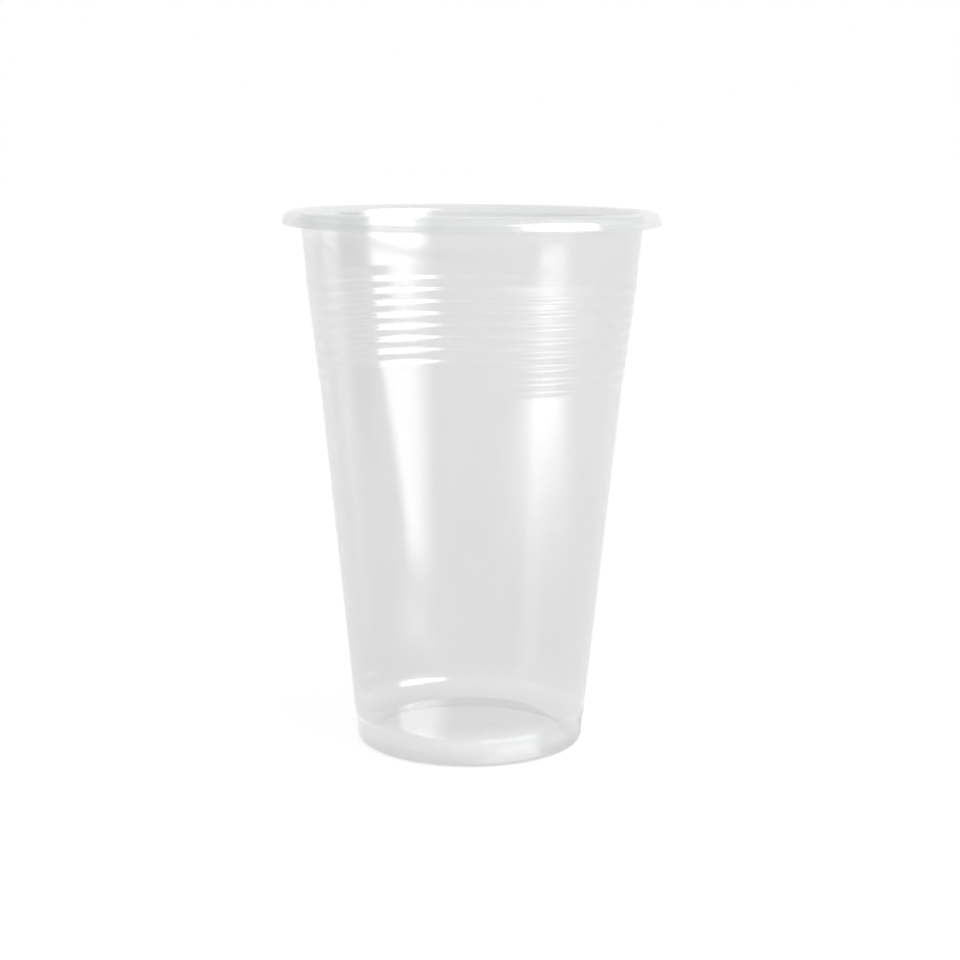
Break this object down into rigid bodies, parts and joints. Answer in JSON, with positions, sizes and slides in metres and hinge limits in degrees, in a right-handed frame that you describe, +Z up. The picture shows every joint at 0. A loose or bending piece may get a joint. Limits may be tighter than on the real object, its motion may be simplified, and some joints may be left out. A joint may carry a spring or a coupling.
{
  "type": "plastic disposable cup",
  "caption": "Clear tapered drinking cup with a rolled lip, a band of fine ribs below it, a stacking shoulder above the foot and a raised floor.",
  "frame": {"origin": "centre of the foot's standing ring, on the surface that the cup rests on", "axes": "+Z up along the cup's axis, +X to the right and -Y towards the viewer of the picture"},
  "size_m": [0.0703, 0.0702, 0.1005],
  "materials": {
    "clear_plastic": "clear, slightly milky polypropylene sheet with a soft gloss"
  },
  "bodies": {
    "root": {"cup": "clear_plastic"}
  },
  "joints": []
}
